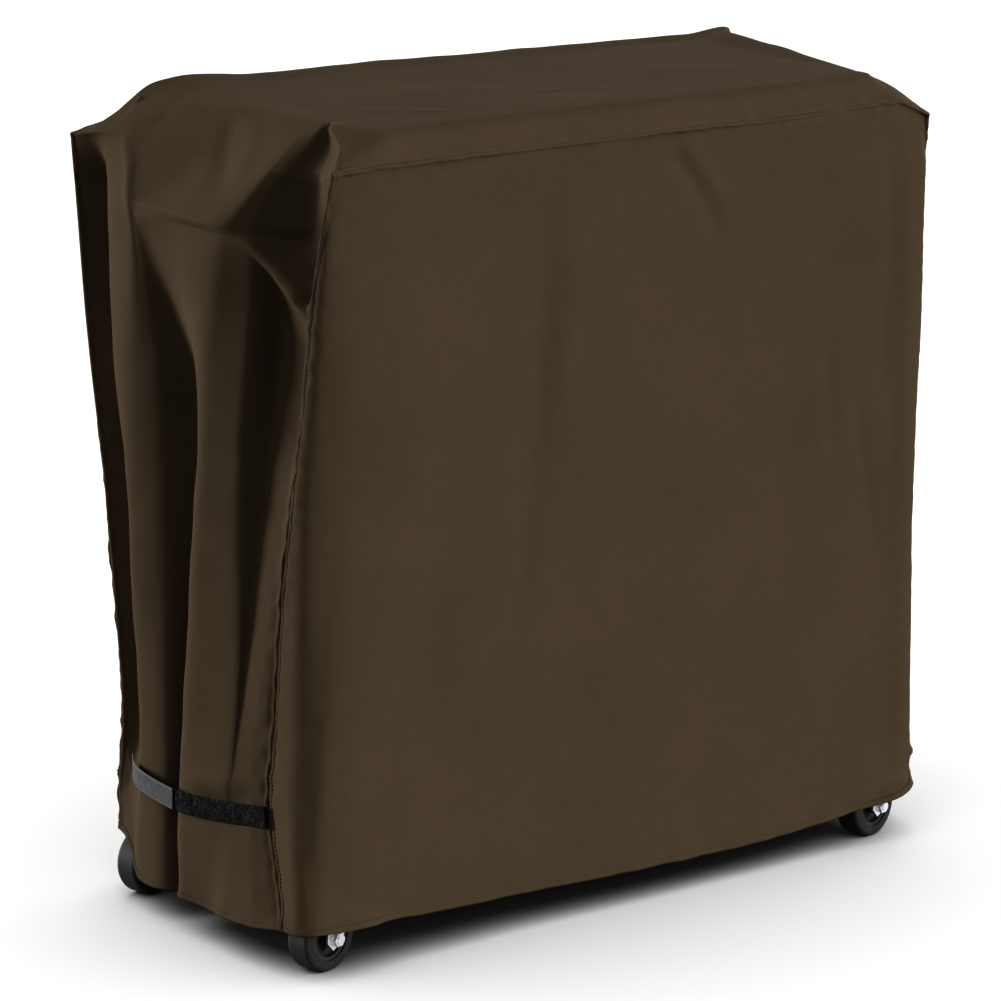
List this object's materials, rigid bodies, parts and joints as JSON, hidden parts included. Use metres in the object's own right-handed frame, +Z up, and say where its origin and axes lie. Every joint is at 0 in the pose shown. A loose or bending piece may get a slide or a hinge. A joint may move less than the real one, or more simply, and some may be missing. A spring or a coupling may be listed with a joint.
{
  "type": "grill cover",
  "caption": "Fitted fabric weather cover with pleated ends and hook-and-loop straps, over a rolling cart grill on swivel casters.",
  "frame": {"origin": "on the floor under the middle of the cart, at the bottom centre of the object's box", "axes": "+X along the cart to its right end, -Y out of the front, +Z up"},
  "size_m": [0.9286, 0.452, 0.9],
  "materials": {
    "fabric": "matt coated woven polyester, dark brown",
    "webbing": "smooth dark grey woven webbing",
    "loop_tape": "fuzzy black loop tape",
    "enamel": "satin black enamel",
    "frame_paint": "satin black powder coat",
    "zinc": "bright zinc plate",
    "chrome_rod": "bright plated",
    "grate_iron": "seasoned",
    "hub_plastic": "moulded dark grey",
    "tread": "smooth black tread"
  },
  "bodies": {
    "root": {"lid": "enamel", "lid_hinges": "zinc", "hinge_pins": "zinc", "firebox": "enamel", "cooking_grate": "chrome_rod", "charcoal_grate": "grate_iron", "left_handle": "frame_paint", "right_handle": "frame_paint", "front_left_leg": "frame_paint", "front_right_leg": "frame_paint", "back_left_leg": "frame_paint", "back_right_leg": "frame_paint", "front_top_rail": "frame_paint", "back_top_rail": "frame_paint", "left_top_rail": "frame_paint", "right_top_rail": "frame_paint", "front_low_rail": "frame_paint", "back_low_rail": "frame_paint", "shelf": "frame_paint", "rail_bolts": "zinc", "caster_bolts": "zinc", "kingpins": "zinc", "swivel_balls": "chrome_rod", "front_left_plate": "zinc", "front_right_plate": "zinc", "back_left_plate": "zinc", "back_right_plate": "zinc"},
    "cover": {"top_panel": "fabric", "front_panel": "fabric", "back_panel": "fabric", "left_end_panel": "fabric", "right_end_panel": "fabric", "front_hem": "fabric", "back_hem": "fabric", "left_hem": "fabric", "right_hem": "fabric", "left_loop_strap": "loop_tape", "right_loop_strap": "loop_tape"},
    "left_strap": {"left_hook_strap": "webbing"},
    "right_strap": {"right_hook_strap": "webbing"},
    "front_left_swivel": {"front_left_fork": "zinc", "front_left_axle": "zinc"},
    "front_left_wheel": {"front_left_hub": "hub_plastic", "front_left_tyre": "tread"},
    "front_right_swivel": {"front_right_fork": "zinc", "front_right_axle": "zinc"},
    "front_right_wheel": {"front_right_hub": "hub_plastic", "front_right_tyre": "tread"},
    "back_left_swivel": {"back_left_fork": "zinc", "back_left_axle": "zinc"},
    "back_left_wheel": {"back_left_hub": "hub_plastic", "back_left_tyre": "tread"},
    "back_right_swivel": {"back_right_fork": "zinc", "back_right_axle": "zinc"},
    "back_right_wheel": {"back_right_hub": "hub_plastic", "back_right_tyre": "tread"}
  },
  "joints": [
    {"name": "cover_lift", "type": "slide", "parent": "root", "child": "cover", "axis": [0, 0, 1], "range_m": [0, 0.9], "deforming": ["left_end_panel", "right_end_panel", "left_hem", "right_hem"]},
    {"name": "left_strap_peel", "type": "hinge", "parent": "cover", "child": "left_strap", "pos_m": [-0.4561, 0.1621, 0.1565], "axis": [0, 0, -1], "range_deg": [0, 110]},
    {"name": "right_strap_peel", "type": "hinge", "parent": "cover", "child": "right_strap", "pos_m": [0.4561, 0.1621, 0.1565], "axis": [0, 0, 1], "range_deg": [0, 110]},
    {"name": "front_left_swivel", "type": "hinge", "parent": "root", "child": "front_left_swivel", "pos_m": [-0.392, -0.166, 0.09], "axis": [0, 0, 1], "continuous": true, "deforming": ["front_hem"]},
    {"name": "front_left_spin", "type": "hinge", "parent": "front_left_swivel", "child": "front_left_wheel", "pos_m": [-0.40765, -0.16933, 0.038], "axis": [0.2079, -0.9781, 0], "continuous": true},
    {"name": "front_right_swivel", "type": "hinge", "parent": "root", "child": "front_right_swivel", "pos_m": [0.392, -0.166, 0.09], "axis": [0, 0, 1], "continuous": true},
    {"name": "front_right_spin", "type": "hinge", "parent": "front_right_swivel", "child": "front_right_wheel", "pos_m": [0.37635, -0.16933, 0.038], "axis": [0.2079, -0.9781, 0], "continuous": true},
    {"name": "back_left_swivel", "type": "hinge", "parent": "root", "child": "back_left_swivel", "pos_m": [-0.392, 0.166, 0.09], "axis": [0, 0, 1], "continuous": true, "deforming": ["back_hem"]},
    {"name": "back_left_spin", "type": "hinge", "parent": "back_left_swivel", "child": "back_left_wheel", "pos_m": [-0.40765, 0.16267, 0.038], "axis": [0.2079, -0.9781, 0], "continuous": true},
    {"name": "back_right_swivel", "type": "hinge", "parent": "root", "child": "back_right_swivel", "pos_m": [0.392, 0.166, 0.09], "axis": [0, 0, 1], "continuous": true},
    {"name": "back_right_spin", "type": "hinge", "parent": "back_right_swivel", "child": "back_right_wheel", "pos_m": [0.37635, 0.16267, 0.038], "axis": [0.2079, -0.9781, 0], "continuous": true}
  ]
}
